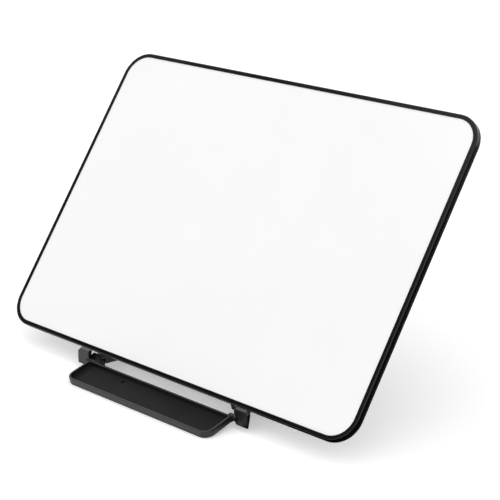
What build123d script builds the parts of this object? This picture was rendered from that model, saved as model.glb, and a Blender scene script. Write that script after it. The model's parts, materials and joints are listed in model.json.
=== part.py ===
from build123d import *

import os
from math import asin, atan2, cos, degrees, hypot, radians, sin, tan

# Desk whiteboard on a folding easel base. Millimetres and degrees.
# X runs to the user's right, Y away from the user and Z up. The origin is on the desk,
# at the middle of the object's footprint, so the desk is the plane Z = 0.
# The board turns about the hinge axis along X, and a prop with a slider holds it up.

# ---------------------------------------------------------------- driving dimensions

# Board
board_width = 420.0
board_height = 297.0
board_corner_radius = 25.0
board_depth = 7.5          # writing surface to back
board_angle = 52.9         # slope of the board above the desk, at its steepest
bezel_face = 4.2           # width of the frame seen from the front
bezel_proud = 0.7          # how far the frame stands out of the writing surface
bezel_side = 2.6           # side wall of the bezel, writing surface to parting groove
bezel_edge_radius = 1.1
groove_width = 0.6         # parting groove between bezel and back cover
shell_wall = 1.8
skirt_inset = 0.9          # the bezel's skirt, inside the back cover's wall
skirt_lap = 2.0
panel_thickness = 0.4
back_wall = 1.4
back_edge_radius = 1.6
back_border = 14.0         # raised border round the recessed field of the back
back_recess = 0.4

# Hinge of the board
hinge_height = 12.3
back_offset = 1.4          # hinge axis to the plane of the board's back
board_foot = 3.4           # hinge axis to the board's lower edge, along the board
hinge_pin_radius = 1.4
knuckle_radius = 3.0
knuckle_length = 4.2
knuckle_neck = 3.4         # hinge axis to where the leaf draws in beside the rail
leaf_thickness = 1.8
leaf_length = 27.0
leaf_width = 26.0
leaf_corner_radius = 4.0
leaf_screw_row = 11.0      # hinge axis to the first row of screws, along the board
leaf_screw_inset = 3.2     # leaf's outer edge to the nearest screw, across the board
leaf_screw_pitch = 10.0

# Base
rail_width = 9.0
rail_set_in = 6.7          # side plate's inner face to a rail's, at the hinge axis
rail_start = 9.0           # front end of a rail, behind the hinge axis
rail_base_z = 6.1
rail_height = 7.2
bar_base_z = 3.7           # underside of the crossbars and racks, lower than the rails'
rail_wall = 1.8
rail_edge_radius = 1.2
rail_corner_radius = 3.0
rail_pockets = 5
rail_ribs_start = 24.0     # first pocket under a rail, along the rail
mid_bar_y = 46.0           # front face of the mid crossbar, behind the hinge axis
crossbar_width = 7.0
tongue_length = 12.0

# Front brackets
side_plate_width = 3.6     # of the plate that carries the pins
bracket_set_out = 1.9      # side plate's inner face to the bracket's
bracket_width = 14.2
bracket_front_y = 8.6      # front face, ahead of the hinge axis
bracket_base_z = 5.0
bracket_shoulder_z = 19.3
bracket_base_depth = 1.4
bracket_seat_depth = 3.0   # front face to the ridge that the board stands on
bracket_seat_width = 1.6
bracket_corner = 2.4
bracket_toe_radius = 3.0
bracket_edge_radius = 0.7
socket_start = 4.6         # front of the block that meets the rail, along the rail
socket_overlap = 1.0       # of the block over the side plate, past the hinge axis

# Prop and slider
prop_length = 82.0         # pivot to slider, and also hinge axis to pivot
pivot_standoff = 3.6       # prop pivot behind the board's back
prop_pin_radius = 1.5
prop_eye_radius = 3.0
prop_arm_x = 23.0
prop_arm_width = 6.0
prop_arm_depth = 5.0
prop_web_depth = 2.6
prop_windows = 3
prop_bar = 5.0             # bars between the windows
ear_thickness = 1.8
clevis_base = 1.6
clevis_reach = 18.0        # pivot to the lower end of a clevis
clevis_screw_reach = 8.8   # pivot to the nearer screw
clevis_screw_pitch = 6.4
prop_pin_head_radius = 2.7
rack_width = 7.0
rod_radius = 1.25
roller_radius = 2.1
roller_flange_radius = 3.4
roller_flange = 1.2
notch_drop = 0.9
notch_angles = (52.9, 46.0, 39.0, 32.0, 25.0, 17.0)

# Pen tray
tray_half_width = 89.0
tray_depth = 32.2
tray_height = 6.5
tray_wall = 2.0
tray_floor = 2.4
tray_corner_radius = 9.5
tray_back_radius = 3.0
tray_edge_radius = 0.8
tray_rim_radius = 0.6
tray_bowl_radius = 2.8     # where the tray's floor rises into its walls
tray_pivot_y = 7.3         # ahead of the hinge axis
tray_pivot_height = 9.9
tray_pivot_gap = 1.6       # tray pivot to the tray's back wall
tray_below_pivot = 3.3
tray_pin_radius = 1.25
tray_lug_radius = 3.0
tray_lug_width = 5.0

# Feet and screws
foot_radius = 3.4
foot_recess = 0.8
foot_edge = 0.6
foot_pad = 2.5             # thickness of the pad over a front foot
foot_pad_rim = 1.0
front_foot_across = 6.5    # from the line of the rail's inner face
front_foot_along = 3.0     # along the rail
rear_foot_inset = 8.0
screw_radius = 1.2
screw_head_radius = 2.2
screw_head_depth = 1.3
short_screw = 6.0
long_screw = 10.0
screw_sink = 3.0           # seat of a sunk screw head below the face it goes in by
boss_end = 1.0             # of a boss, beyond the end of its screw
pin_head_radius = 2.0
pin_head = 0.8

# Clearances
joint_gap = 0.4            # beside a part that turns
stop_gap = 0.3             # between the board and the ridge it stands on
slide_gap = 0.3            # round the rollers in their slots
pin_fit = 0.05             # radial, of a pin or screw in its hole
wall_fit = 0.15            # between shells that plug together
desk_gap = 0.05            # under the nose of the tray
tray_side_gap = 1.0        # tray to side plate
rack_side_gap = 0.5        # clevis to rack
rail_rear_gap = 3.0        # rack to rail, at the back of the base
leaf_edge_gap = 0.9        # hinge leaf to rail, with the board flat
screw_end_gap = 0.5        # end of a screw to the slot it points at

# ---------------------------------------------------------------- places worked out from them

# Tray: it leans until its rounded front edge comes down on the desk.
tray_reach = tray_pivot_gap + tray_depth
nose_arm = hypot(tray_reach - tray_edge_radius, tray_below_pivot - tray_edge_radius)
nose_lead = degrees(atan2(tray_below_pivot - tray_edge_radius, tray_reach - tray_edge_radius))
nose_drop = tray_pivot_height - tray_edge_radius - desk_gap
tray_angle = degrees(asin(nose_drop / nose_arm)) - nose_lead
tray_above_pivot = tray_height - tray_below_pivot

# Linkage: hinge to pivot equals pivot to slider, so the slider runs on a straight line
# through the hinge axis, and the prop turns back by twice the turn of the board.
slide_angle = degrees(asin((pivot_standoff - back_offset) / prop_length))
prop_angle = board_angle + slide_angle


def slider_travel(angle):
    """Hinge axis to slider, along the slots, with the board at this angle."""
    return 2 * prop_length * cos(radians(angle))


slider_near = slider_travel(board_angle)
slider_far = slider_travel(0)
slot_half = roller_radius + slide_gap

# Rear crossbar: far enough behind the slots for its screws to end clear of them.
rack_end = long_screw - (crossbar_width - screw_sink) + screw_end_gap
rear_bar_y = slider_far + slot_half + rack_end
base_back = rear_bar_y + crossbar_width

# Board: heights above its back plane, and its reach behind the hinge axis.
surface_n = back_offset + board_depth
face_n = surface_n + bezel_proud
groove_top_n = surface_n - bezel_side
groove_base_n = groove_top_n - groove_width
board_middle = board_foot + board_height / 2
board_top = board_foot + board_height
slope_cos = cos(radians(board_angle))
slope_sin = sin(radians(board_angle))
top_edge_y = (board_top - back_edge_radius) * slope_cos
top_edge_y -= (back_offset + back_edge_radius) * slope_sin
back_reach = max(top_edge_y + back_edge_radius, base_back)

# Footprint: from the nose of the tray to the furthest point at the back.
nose_y = (tray_reach - tray_edge_radius) * cos(radians(tray_angle))
nose_y += (tray_above_pivot - tray_edge_radius) * sin(radians(tray_angle))
front_reach = tray_pivot_y + nose_y + tray_edge_radius
hinge_y = (front_reach - back_reach) / 2

side_plate_x = tray_half_width + tray_side_gap
bracket_inner_x = side_plate_x + bracket_set_out
bracket_outer_x = bracket_inner_x + bracket_width
rail_inner_x = side_plate_x - rail_set_in
rail_top_z = rail_base_z + rail_height
bar_height = rail_top_z - bar_base_z
knuckle_outer_x = side_plate_x - joint_gap
knuckle_inner_x = knuckle_outer_x - knuckle_length
prop_outer_x = prop_arm_x + prop_arm_width / 2
prop_inner_x = prop_arm_x - prop_arm_width / 2
ear_outer_x = prop_outer_x + joint_gap / 2
ear_inner_x = prop_inner_x - joint_gap / 2
clevis_width = ear_outer_x - ear_inner_x + 2 * ear_thickness
rack_inner_x = ear_outer_x + ear_thickness + rack_side_gap
rack_outer_x = rack_inner_x + rack_width
rack_x = (rack_inner_x + rack_outer_x) / 2
rail_toe_in = degrees(atan2(rail_inner_x - rack_outer_x - rail_rear_gap, base_back))
pivot_u = prop_length * cos(radians(slide_angle))
pivot_n = back_offset - pivot_standoff
core_inset = shell_wall + wall_fit

# ---------------------------------------------------------------- planes

hinge_point = (0, hinge_y, hinge_height)
board_plane = Plane(origin=hinge_point, x_dir=(1, 0, 0), z_dir=(0, -slope_sin, slope_cos))
board_up = Axis((0, 0, 0), tuple(board_plane.z_dir))

# The side view: its X is the object's Y, its Y is Z, both from the hinge axis.
side_plane = Plane(origin=hinge_point, x_dir=(0, 1, 0), z_dir=(1, 0, 0))

# Along the right rail: X across it from its inner face, Y back along it, Z up.
toe_cos = cos(radians(rail_toe_in))
toe_sin = sin(radians(rail_toe_in))
rail_plane = Plane(origin=(rail_inner_x, hinge_y, 0), x_dir=(toe_cos, toe_sin, 0), z_dir=(0, 0, 1))
rail_line = Axis((0, 0, 0), tuple(rail_plane.y_dir))
rail_end = (base_back - rail_width * toe_sin) / toe_cos

pivot_point = board_plane.from_local_coords((0, pivot_u, pivot_n))
prop_normal = (0, sin(radians(prop_angle)), cos(radians(prop_angle)))
prop_plane = Plane(origin=pivot_point, x_dir=(1, 0, 0), z_dir=prop_normal)

# In the tray's plane Y runs back, so the tray lies on its negative side.
tray_normal = (0, -sin(radians(tray_angle)), cos(radians(tray_angle)))
tray_point = (0, hinge_y - tray_pivot_y, tray_pivot_height)
tray_plane = Plane(origin=tray_point, x_dir=(1, 0, 0), z_dir=tray_normal)


def rail_inner_at(distance):
    """X of the right rail's inner face at this distance behind the hinge axis."""
    return rail_inner_x - distance * tan(radians(rail_toe_in))


# ---------------------------------------------------------------- screws

leaf_screw_x = rail_inner_at(leaf_screw_row) - leaf_edge_gap - leaf_screw_inset
leaf_screw_spots = [
    (leaf_screw_x - leaf_screw_pitch, leaf_screw_row),
    (leaf_screw_x, leaf_screw_row),
    (leaf_screw_x - leaf_screw_pitch / 2, 2 * leaf_screw_row),
]
clevis_screw_spots = [
    (prop_arm_x, pivot_u - clevis_screw_reach),
    (prop_arm_x, pivot_u - clevis_screw_reach - clevis_screw_pitch),
]
bar_z = rail_base_z + rail_height / 2
mid_bar_mid = mid_bar_y + crossbar_width / 2
rear_bar_mid = rear_bar_y + crossbar_width / 2


def board_screws(spots, head_n):
    """Planes on the board's back with Z out of the screw's head, on both sides."""
    planes = []
    for x, u in spots:
        for side in (-1, 1):
            origin = board_plane.from_local_coords((side * x, u, head_n))
            planes.append(Plane(origin=origin, x_dir=(1, 0, 0), z_dir=-board_plane.z_dir))
    return planes


def base_screws(point, direction):
    """Planes with Z out of the screw's head, on the right side and mirrored on the left."""
    planes = []
    for side in (-1, 1):
        origin = (side * point[0], point[1], point[2])
        planes.append(Plane(origin=origin, z_dir=(side * direction[0], direction[1], direction[2])))
    return planes


def rail_screws(distance):
    """Screws that run along X through the rails at this distance behind the hinge axis."""
    outer = rail_inner_at(distance) + rail_width / toe_cos
    return base_screws((outer - screw_sink, hinge_y + distance, bar_z), (1, 0, 0))


leaf_screws_at = board_screws(leaf_screw_spots, back_offset - leaf_thickness)
clevis_screws_at = board_screws(clevis_screw_spots, back_offset - clevis_base)
rail_screws_at = rail_screws(mid_bar_mid) + rail_screws(rear_bar_mid)
rack_screws_at = base_screws((rack_x, hinge_y + mid_bar_y + screw_sink, bar_z), (0, -1, 0))
rack_screws_at += base_screws((rack_x, hinge_y + base_back - screw_sink, bar_z), (0, 1, 0))
tongue_along = rail_start + tongue_length / 2
tongue_head = rail_plane.from_local_coords((rail_width - rail_wall / 2, tongue_along, bar_z))
tongue_screws_at = base_screws(tuple(tongue_head), (toe_cos, toe_sin, 0))


def drill(planes, length):
    """Cuts the room of these screws, and the way in for their heads, out of the part."""
    for plane in planes:
        with Locations(plane):
            Cylinder(
                screw_radius + pin_fit,
                length + pin_fit,
                align=(Align.CENTER, Align.CENTER, Align.MAX),
                mode=Mode.SUBTRACT,
            )
            Cylinder(
                screw_head_radius + wall_fit,
                rail_width,
                align=(Align.CENTER, Align.CENTER, Align.MIN),
                mode=Mode.SUBTRACT,
            )


def drive(planes, length):
    """Makes screws, with their heads standing on the planes."""
    for plane in planes:
        with Locations(plane):
            Cylinder(screw_radius, length, align=(Align.CENTER, Align.CENTER, Align.MAX))
            Cylinder(screw_head_radius, screw_head_depth, align=(Align.CENTER, Align.CENTER, Align.MIN))


def board_outline(inset, mode=Mode.ADD):
    """The board's rounded outline, drawn in from its edge, on a plane of the board."""
    with Locations((0, board_middle)):
        RectangleRounded(
            board_width - 2 * inset,
            board_height - 2 * inset,
            board_corner_radius - inset,
            mode=mode,
        )


os.makedirs("parts", exist_ok=True)

# ---------------------------------------------------------------- board

# The enamelled steel sheet that is written on. Its edge lies under the bezel's lip.
with BuildPart() as whiteboard_panel:
    with BuildSketch(board_plane.offset(surface_n - panel_thickness)):
        board_outline(core_inset)
    extrude(amount=panel_thickness)
whiteboard_panel.part.label = "whiteboard_panel"
export_step(whiteboard_panel.part, "parts/whiteboard_panel.step")

# The bezel: a side wall, a lip over the panel and a skirt that plugs into the back cover.
with BuildPart() as front_bezel:
    with BuildSketch(board_plane.offset(groove_top_n)):
        board_outline(0)
        board_outline(shell_wall, mode=Mode.SUBTRACT)
    extrude(amount=face_n - groove_top_n)
    with BuildSketch(board_plane.offset(surface_n)):
        board_outline(shell_wall / 2)
        board_outline(bezel_face, mode=Mode.SUBTRACT)
    extrude(amount=bezel_proud)
    with BuildSketch(board_plane.offset(groove_base_n - skirt_lap)):
        board_outline(skirt_inset)
        board_outline(shell_wall, mode=Mode.SUBTRACT)
    extrude(amount=skirt_lap + groove_width)
    lip_face = front_bezel.faces().sort_by(board_up)[-1]
    fillet(lip_face.outer_wire().edges(), bezel_edge_radius)
    lip_face = front_bezel.faces().sort_by(board_up)[-1]
    fillet(lip_face.inner_wires()[0].edges(), bezel_proud / 2)
front_bezel.part.label = "front_bezel"
export_step(front_bezel.part, "parts/front_bezel.step")

# The back cover: a shallow dish with a rounded rear edge, a recessed field with raised pads
# where the hinge leaves and clevises are screwed on, and screw bosses inside.
boss_radius = screw_radius + shell_wall
boss_height = short_screw - min(leaf_thickness, clevis_base) - back_wall + boss_end
boss_spots = leaf_screw_spots + clevis_screw_spots
with BuildPart() as back_cover:
    with BuildSketch(board_plane.offset(back_offset)):
        board_outline(0)
    extrude(amount=groove_base_n - back_offset)
    with BuildSketch(board_plane.offset(back_offset + back_wall)):
        board_outline(shell_wall)
    extrude(amount=board_depth, mode=Mode.SUBTRACT)
    with BuildSketch(board_plane.offset(groove_base_n - skirt_lap - wall_fit)):
        board_outline(skirt_inset - wall_fit)
    extrude(amount=board_depth, mode=Mode.SUBTRACT)
    back_face = back_cover.faces().sort_by(board_up)[0]
    fillet(back_face.outer_wire().edges(), back_edge_radius)
    with BuildSketch(board_plane.offset(back_offset)):
        board_outline(back_border)
        for side in (-1, 1):
            with Locations((side * (knuckle_outer_x - leaf_width / 2), leaf_length / 2)):
                Rectangle(leaf_width + 2 * shell_wall, leaf_length + 2 * shell_wall, mode=Mode.SUBTRACT)
            with Locations((side * prop_arm_x, pivot_u - clevis_reach / 2)):
                Rectangle(clevis_width + 2 * shell_wall, clevis_reach + 2 * shell_wall, mode=Mode.SUBTRACT)
    extrude(amount=back_recess, mode=Mode.SUBTRACT)
    for x, u in boss_spots:
        with BuildSketch(board_plane.offset(back_offset + back_wall)):
            with Locations((x, u), (-x, u)):
                Circle(boss_radius)
        extrude(amount=boss_height)
    drill(leaf_screws_at + clevis_screws_at, short_screw)
back_cover.part.label = "back_cover"
export_step(back_cover.part, "parts/back_cover.step")

# The honeycomb board that fills the shell, with a window round each group of screw bosses.
boss_room = boss_radius + joint_gap
with BuildPart() as honeycomb_core:
    with BuildSketch(board_plane.offset(back_offset + back_wall)):
        board_outline(core_inset)
        for spots in (leaf_screw_spots, clevis_screw_spots):
            low_x = min(x for x, u in spots) - boss_room
            high_x = max(x for x, u in spots) + boss_room
            low_u = min(u for x, u in spots) - boss_room
            high_u = max(u for x, u in spots) + boss_room
            middle = (low_x + high_x) / 2
            with Locations((middle, (low_u + high_u) / 2), (-middle, (low_u + high_u) / 2)):
                Rectangle(high_x - low_x, high_u - low_u, mode=Mode.SUBTRACT)
    extrude(amount=board_depth - back_wall - panel_thickness)
honeycomb_core.part.label = "honeycomb_core"
export_step(honeycomb_core.part, "parts/honeycomb_core.step")

# A hinge leaf: a plate on the board's back with an arm out to a knuckle on the hinge axis.
# Its outer edge runs beside the rail when the board lies flat.
leaf_inner_x = knuckle_outer_x - leaf_width
leaf_neck_x = rail_inner_at(knuckle_neck) - leaf_edge_gap
with BuildPart() as right_hinge_leaf:
    with BuildSketch(board_plane.offset(back_offset - leaf_thickness)):
        with BuildLine():
            Polyline(
                (knuckle_outer_x, 0),
                (knuckle_outer_x, knuckle_neck),
                (leaf_neck_x, knuckle_neck),
                (rail_inner_at(leaf_length) - leaf_edge_gap, leaf_length),
                (leaf_inner_x, leaf_length),
                (leaf_inner_x, 2 * knuckle_radius),
                (leaf_neck_x - knuckle_neck, knuckle_neck),
                (leaf_neck_x, 0),
                close=True,
            )
        make_face()
        fillet(vertices().group_by(Axis.Y)[-1], leaf_corner_radius)
        fillet(vertices().group_by(Axis.X)[0].sort_by(Axis.Y)[0], leaf_corner_radius / 2)
    extrude(amount=leaf_thickness)
    with BuildSketch(side_plane.offset(knuckle_inner_x)):
        Circle(knuckle_radius)
    extrude(amount=knuckle_length)
    with BuildSketch(side_plane.offset(knuckle_inner_x)):
        Circle(hinge_pin_radius + pin_fit)
    extrude(amount=knuckle_length, mode=Mode.SUBTRACT)
    drill(leaf_screws_at, short_screw)
right_hinge_leaf.part.label = "right_hinge_leaf"
export_step(right_hinge_leaf.part, "parts/right_hinge_leaf.step")

with BuildPart() as left_hinge_leaf:
    mirror(right_hinge_leaf.part, about=Plane.YZ)
left_hinge_leaf.part.label = "left_hinge_leaf"
export_step(left_hinge_leaf.part, "parts/left_hinge_leaf.step")

with BuildPart() as hinge_leaf_screws:
    drive(leaf_screws_at, short_screw)
hinge_leaf_screws.part.label = "hinge_leaf_screws"
export_step(hinge_leaf_screws.part, "parts/hinge_leaf_screws.step")

# A clevis: a base on the board's back, below the prop, and two ears that hold its pin.
pivot_plane = Plane(origin=pivot_point, x_dir=tuple(board_plane.y_dir), z_dir=(1, 0, 0))
clevis_foot = pivot_standoff - clevis_base
with BuildPart() as right_prop_clevis:
    for ear_x in (ear_inner_x - ear_thickness, ear_outer_x):
        with BuildSketch(pivot_plane.offset(ear_x)):
            with BuildLine():
                Polyline(
                    (-clevis_reach, pivot_standoff),
                    (prop_eye_radius, pivot_standoff),
                    (prop_eye_radius, 0),
                    (-prop_eye_radius, 0),
                    (-clevis_reach, clevis_foot),
                    close=True,
                )
            make_face()
            Circle(prop_eye_radius)
        extrude(amount=ear_thickness)
    with BuildSketch(board_plane.offset(back_offset - clevis_base)):
        with Locations((prop_arm_x, pivot_u - clevis_reach)):
            Rectangle(
                clevis_width,
                clevis_reach - prop_eye_radius - joint_gap,
                align=(Align.CENTER, Align.MIN),
            )
    extrude(amount=clevis_base)
    with BuildSketch(pivot_plane):
        Circle(prop_pin_radius + pin_fit)
    extrude(amount=ear_outer_x + ear_thickness, mode=Mode.SUBTRACT)
    drill(clevis_screws_at, short_screw)
right_prop_clevis.part.label = "right_prop_clevis"
export_step(right_prop_clevis.part, "parts/right_prop_clevis.step")

with BuildPart() as left_prop_clevis:
    mirror(right_prop_clevis.part, about=Plane.YZ)
left_prop_clevis.part.label = "left_prop_clevis"
export_step(left_prop_clevis.part, "parts/left_prop_clevis.step")

with BuildPart() as prop_clevis_screws:
    drive(clevis_screws_at, short_screw)
prop_clevis_screws.part.label = "prop_clevis_screws"
export_step(prop_clevis_screws.part, "parts/prop_clevis_screws.step")

# Headed pins that the prop turns on, held in the clevises.
with BuildPart() as prop_pivot_pins:
    for side in (-1, 1):
        head_x = ear_inner_x - ear_thickness
        with BuildSketch(pivot_plane.offset(side * head_x)):
            Circle(prop_pin_radius)
        extrude(amount=side * (clevis_width - pin_fit))
        with BuildSketch(pivot_plane.offset(side * head_x)):
            Circle(prop_pin_head_radius)
        extrude(amount=-side * pin_head)
prop_pivot_pins.part.label = "prop_pivot_pins"
export_step(prop_pivot_pins.part, "parts/prop_pivot_pins.step")

# ---------------------------------------------------------------- prop and slider

# The prop: two arms with eyes at the board, a web with windows, and a sleeve for the rod.
prop_side = Plane(origin=pivot_point, x_dir=tuple(prop_plane.y_dir), z_dir=(1, 0, 0))
foot_side = prop_side.shift_origin(prop_side.from_local_coords((prop_length, 0, 0)))
prop_foot_x = rack_inner_x - joint_gap
web_start = 3 * prop_eye_radius
web_end = prop_length - prop_eye_radius / 2
window_pitch = (web_end - web_start - prop_bar) / prop_windows
with BuildPart() as prop_frame:
    for arm_x in (-prop_outer_x, prop_inner_x):
        with BuildSketch(prop_side.offset(arm_x)):
            Circle(prop_eye_radius)
            with Locations((prop_length / 2, 0)):
                Rectangle(prop_length, prop_arm_depth)
        extrude(amount=prop_arm_width)
    with BuildSketch(prop_plane.offset(-prop_web_depth / 2)):
        with Locations((0, (web_start + web_end) / 2)):
            Rectangle(2 * prop_arm_x, web_end - web_start)
            with GridLocations(0, window_pitch, 1, prop_windows):
                RectangleRounded(
                    2 * prop_inner_x - prop_bar,
                    window_pitch - prop_bar,
                    prop_bar / 2,
                    mode=Mode.SUBTRACT,
                )
    extrude(amount=prop_web_depth)
    with BuildSketch(foot_side.offset(-prop_foot_x)):
        Circle(prop_eye_radius)
    extrude(amount=2 * prop_foot_x)
    with BuildSketch(prop_side.offset(-prop_outer_x)):
        Circle(prop_pin_radius + pin_fit)
    extrude(amount=2 * prop_outer_x, mode=Mode.SUBTRACT)
    with BuildSketch(foot_side.offset(-prop_foot_x)):
        Circle(rod_radius + pin_fit)
    extrude(amount=2 * prop_foot_x, mode=Mode.SUBTRACT)
prop_frame.part.label = "prop_frame"
export_step(prop_frame.part, "parts/prop_frame.step")

# A flanged roller on each end of the rod runs in the slot of its rack.
flange_x = rack_outer_x + joint_gap
with BuildPart() as slider_rollers:
    for side in (-1, 1):
        with BuildSketch(foot_side.offset(side * prop_foot_x)):
            Circle(roller_radius)
        extrude(amount=side * (flange_x - prop_foot_x))
        with BuildSketch(foot_side.offset(side * flange_x)):
            Circle(roller_flange_radius)
        extrude(amount=side * roller_flange)
        with BuildSketch(foot_side.offset(side * prop_foot_x)):
            Circle(rod_radius + pin_fit)
        extrude(amount=side * (flange_x + roller_flange - prop_foot_x), mode=Mode.SUBTRACT)
slider_rollers.part.label = "slider_rollers"
export_step(slider_rollers.part, "parts/slider_rollers.step")

# The steel rod, with a peened head outside each roller.
rod_head_x = flange_x + roller_flange
with BuildPart() as slider_rod:
    with BuildSketch(foot_side.offset(-rod_head_x)):
        Circle(rod_radius)
    extrude(amount=2 * rod_head_x)
    for side in (-1, 1):
        with BuildSketch(foot_side.offset(side * rod_head_x)):
            Circle(pin_head_radius)
        extrude(amount=side * pin_head)
slider_rod.part.label = "slider_rod"
export_step(slider_rod.part, "parts/slider_rod.step")

# ---------------------------------------------------------------- base


front_foot = rail_plane.from_local_coords((front_foot_across, front_foot_along, 0))
rear_foot = rail_plane.from_local_coords((rail_width / 2, rail_end - rear_foot_inset, 0))


def foot_seat(spot):
    """Cuts the shallow round seat of a foot into the underside."""
    with Locations((spot.X, spot.Y, rail_base_z)):
        Cylinder(
            foot_radius + wall_fit,
            foot_recess,
            align=(Align.CENTER, Align.CENTER, Align.MIN),
            mode=Mode.SUBTRACT,
        )


# A side rail: a bar moulded hollow from below, cut square to the desk's front at the back.
pocket_width = rail_width - 2 * rail_wall
pocket_height = rail_height - rail_wall
pockets_end = (rear_bar_y - rail_width * toe_sin) / toe_cos - rail_wall
pocket_pitch = (pockets_end - rail_ribs_start) / rail_pockets
mid_boss_along = (mid_bar_mid - rail_width / 2 * toe_sin) / toe_cos
with BuildPart() as right_side_rail:
    with BuildSketch(rail_plane.offset(rail_base_z)):
        with BuildLine():
            Polyline(
                (0, rail_start),
                (rail_width, rail_start),
                (rail_width, rail_end),
                (0, base_back / toe_cos),
                close=True,
            )
        make_face()
    extrude(amount=rail_height)
    rear_corner = right_side_rail.edges().filter_by(Axis.Z).group_by(Axis.Y)[-1].sort_by(Axis.X)[-1]
    fillet(rear_corner, rail_corner_radius)
    top_face = right_side_rail.faces().sort_by(Axis.Z)[-1]
    fillet(top_face.edges().filter_by(rail_line), rail_edge_radius)
    with BuildSketch(rail_plane.offset(rail_base_z)):
        with Locations((rail_width / 2, rail_start)):
            Rectangle(pocket_width, 2 * (tongue_length + joint_gap))
        for pocket in range(rail_pockets):
            with Locations((rail_width / 2, rail_ribs_start + (pocket + 0.5) * pocket_pitch)):
                Rectangle(pocket_width, pocket_pitch - rail_wall)
    extrude(amount=pocket_height, mode=Mode.SUBTRACT)
    with BuildSketch(rail_plane.offset(rail_base_z)):
        with Locations((rail_width / 2, mid_boss_along)):
            Rectangle(pocket_width, crossbar_width + rail_wall)
    extrude(amount=pocket_height)
    foot_seat(rear_foot)
    drill(rail_screws_at, long_screw)
    drill(tongue_screws_at, short_screw)
right_side_rail.part.label = "right_side_rail"
export_step(right_side_rail.part, "parts/right_side_rail.step")

with BuildPart() as left_side_rail:
    mirror(right_side_rail.part, about=Plane.YZ)
left_side_rail.part.label = "left_side_rail"
export_step(left_side_rail.part, "parts/left_side_rail.step")

# The front bracket: an upright that thickens to a sloped ridge under the board's edge, a side
# plate with the two pin eyes, and a block inboard of it with a tongue that carries the rail.
stop_u = board_foot - stop_gap


def seat_height(distance, u):
    """Height above the hinge axis of the board-parallel line at u, this far ahead of it."""
    return (u + distance * slope_cos) / slope_sin


ridge_y = bracket_front_y - bracket_seat_depth
seat_end_y = ridge_y - bracket_seat_width
base_end_y = bracket_front_y - bracket_base_depth
base_low = bracket_base_z - hinge_height
rail_front_inner = rail_plane.from_local_coords((0, rail_start, 0))
rail_front_outer = rail_plane.from_local_coords((rail_width, rail_start, 0))
socket_front = rail_plane.from_local_coords((0, socket_start, 0))
eye_y = -tray_pivot_y
eye_z = tray_pivot_height - hinge_height
with BuildPart() as right_front_bracket:
    with BuildSketch(side_plane.offset(bracket_inner_x)):
        with BuildLine():
            Polyline(
                (-bracket_front_y, base_low),
                (-bracket_front_y, bracket_shoulder_z - hinge_height),
                (-ridge_y, seat_height(ridge_y, stop_u)),
                (-seat_end_y, seat_height(seat_end_y, stop_u)),
                (-base_end_y, base_low),
                close=True,
            )
        make_face()
    extrude(amount=bracket_outer_x - bracket_inner_x)
    low_edges = right_front_bracket.edges().filter_by(Axis.Y).group_by(Axis.Z)[0]
    fillet(low_edges.sort_by(Axis.X)[0], bracket_toe_radius)
    outer_face = right_front_bracket.faces().sort_by(Axis.X)[-1]
    chamfer(outer_face.edges().sort_by(Axis.Z)[-2:], bracket_corner)
    front_face = right_front_bracket.faces().filter_by(Axis.Y).sort_by(Axis.Y)[0]
    fillet(front_face.edges().sort_by(Axis.Z)[-1], bracket_edge_radius)
    with BuildSketch(side_plane.offset(side_plate_x)):
        Circle(knuckle_radius)
        with Locations((eye_y, eye_z)):
            Circle(tray_lug_radius)
        make_hull()
    extrude(amount=side_plate_width)
    with BuildSketch(Plane.XY.offset(rail_base_z)):
        with BuildLine():
            Polyline(
                (side_plate_x, hinge_y - socket_overlap),
                (side_plate_x + side_plate_width, hinge_y - socket_overlap),
                (rail_front_outer.X, rail_front_outer.Y),
                (rail_front_inner.X, rail_front_inner.Y),
                (socket_front.X, socket_front.Y),
                (side_plate_x, socket_front.Y),
                close=True,
            )
        make_face()
    extrude(amount=rail_height)
    with BuildSketch(rail_plane.offset(rail_base_z + rail_wall)):
        with Locations((rail_width / 2, rail_start)):
            Rectangle(pocket_width - 2 * wall_fit, tongue_length, align=(Align.CENTER, Align.MIN))
    extrude(amount=pocket_height - rail_wall - wall_fit)
    with BuildSketch(Plane(origin=(front_foot.X, front_foot.Y, rail_base_z))):
        Circle(foot_radius + foot_pad_rim)
    extrude(amount=foot_pad)
    foot_seat(front_foot)
    pin_end_x = side_plate_x + side_plate_width - joint_gap
    with BuildSketch(side_plane.offset(knuckle_inner_x)):
        Circle(hinge_pin_radius + pin_fit)
        with Locations((eye_y, eye_z)):
            Circle(tray_pin_radius + pin_fit)
    extrude(amount=pin_end_x - knuckle_inner_x, mode=Mode.SUBTRACT)
    drill(tongue_screws_at, short_screw)
right_front_bracket.part.label = "right_front_bracket"
export_step(right_front_bracket.part, "parts/right_front_bracket.step")

with BuildPart() as left_front_bracket:
    mirror(right_front_bracket.part, about=Plane.YZ)
left_front_bracket.part.label = "left_front_bracket"
export_step(left_front_bracket.part, "parts/left_front_bracket.step")

# Plain dowel pins in the brackets, that the board's knuckles turn on.
hinge_pin_start = knuckle_inner_x + joint_gap / 2
with BuildPart() as right_hinge_pin:
    with BuildSketch(side_plane.offset(hinge_pin_start)):
        Circle(hinge_pin_radius)
    extrude(amount=pin_end_x - hinge_pin_start)
right_hinge_pin.part.label = "right_hinge_pin"
export_step(right_hinge_pin.part, "parts/right_hinge_pin.step")

with BuildPart() as left_hinge_pin:
    mirror(right_hinge_pin.part, about=Plane.YZ)
left_hinge_pin.part.label = "left_hinge_pin"
export_step(left_hinge_pin.part, "parts/left_hinge_pin.step")

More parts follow.
